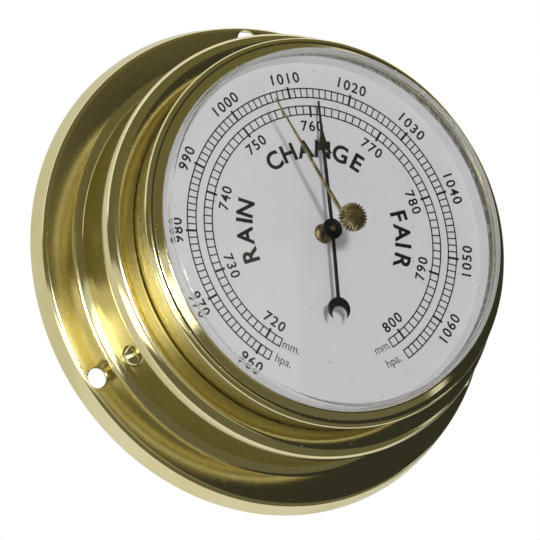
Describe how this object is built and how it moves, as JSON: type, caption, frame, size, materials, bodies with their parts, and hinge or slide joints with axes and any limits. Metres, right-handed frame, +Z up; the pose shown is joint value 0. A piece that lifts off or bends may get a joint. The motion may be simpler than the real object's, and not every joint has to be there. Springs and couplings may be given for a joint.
{
  "type": "wall barometer",
  "caption": "Polished brass aneroid barometer in a screwed-down wall ring, with a raised crystal, a black pressure hand and a brass set hand.",
  "frame": {"origin": "centre of the circle of the three wall screws, on the front face of the ring's flange", "axes": "-Y the way the dial faces, +Z up through 12 o'clock, +X to the right as the dial is read"},
  "size_m": [0.127, 0.0506, 0.127],
  "materials": {
    "brass_polished": "polished",
    "brass_satin": "satin",
    "steel": "satin",
    "nickel": "polished",
    "dial_silver": "matte",
    "spacer_silver": "satin",
    "hand_black": "matte",
    "crystal": "polished",
    "gasket": "matte"
  },
  "bodies": {
    "ring": {"wall_ring": "brass_polished", "bayonet_pins": "brass_polished"},
    "instrument": {"case": "brass_polished", "movement_feet": "brass_satin", "movement_screws": "steel", "base_plate": "brass_satin", "pillars": "brass_satin", "bridge": "brass_satin", "top_plate": "brass_satin", "plate_spacers": "brass_satin", "plate_screws": "steel", "leaf_block": "brass_satin", "leaf_screws": "steel", "capsule_leaf": "steel", "capsule_lower": "nickel", "capsule_upper": "nickel", "rocker_brackets": "brass_satin", "hairspring": "steel", "hairspring_stud": "brass_satin", "centre_bush": "brass_polished", "dial_seat": "brass_satin", "dial": "dial_silver", "spacer_ring": "spacer_silver", "gasket": "gasket", "crystal": "crystal", "bezel": "brass_polished", "set_bush": "brass_polished"},
    "capsule_boss": {"capsule_stud": "nickel"},
    "rocker": {"rocking_shaft": "steel"},
    "sector": {"sector_gear": "brass_satin", "sector_arbor": "steel"},
    "pressure_pointer": {"hand_arbor": "steel", "pressure_hand": "hand_black"},
    "set_pointer": {"set_washer": "steel", "set_hand": "brass_polished", "set_knob": "brass_polished"},
    "setting_screw_body": {"setting_screw": "steel"}
  },
  "joints": [
    {"name": "case_twist", "type": "hinge", "parent": "ring", "child": "instrument", "pos_m": [0, -0.01, 0], "axis": [0, -1, 0], "range_deg": [0, 12]},
    {"name": "sector_turn", "type": "hinge", "parent": "instrument", "child": "sector", "pos_m": [0.01968, -0.0204, 0], "axis": [0, -1, 0], "range_deg": [-21, 21], "stiffness_Nm_per_rad": 0.02},
    {"name": "pressure_hand_turn", "type": "hinge", "parent": "instrument", "child": "pressure_pointer", "pos_m": [0, -0.0204, 0], "axis": [0, -1, 0], "range_deg": [-151.2, 151.2]},
    {"name": "rocking_shaft_turn", "type": "hinge", "parent": "instrument", "child": "rocker", "pos_m": [0.01, -0.01353, 0], "axis": [-1, 0, 0], "range_deg": [-12.6, 12.6]},
    {"name": "capsule_flex", "type": "slide", "parent": "instrument", "child": "capsule_boss", "axis": [0, -1, 0], "range_m": [-0.000396, 0.000396]},
    {"name": "set_hand_turn", "type": "hinge", "parent": "instrument", "child": "set_pointer", "pos_m": [0, -0.042, 0], "axis": [0, -1, 0], "continuous": true},
    {"name": "setting_screw_turn", "type": "hinge", "parent": "instrument", "child": "setting_screw_body", "pos_m": [-0.022, 0, 0.0018], "axis": [0, -1, 0], "range_deg": [-90, 90]}
  ],
  "couplings": [
    {"joint": "pressure_hand_turn", "follows": "sector_turn", "ratio": -7.2},
    {"joint": "rocking_shaft_turn", "follows": "sector_turn", "ratio": 0.6},
    {"joint": "capsule_flex", "follows": "sector_turn", "m_per_rad": -0.00108}
  ]
}
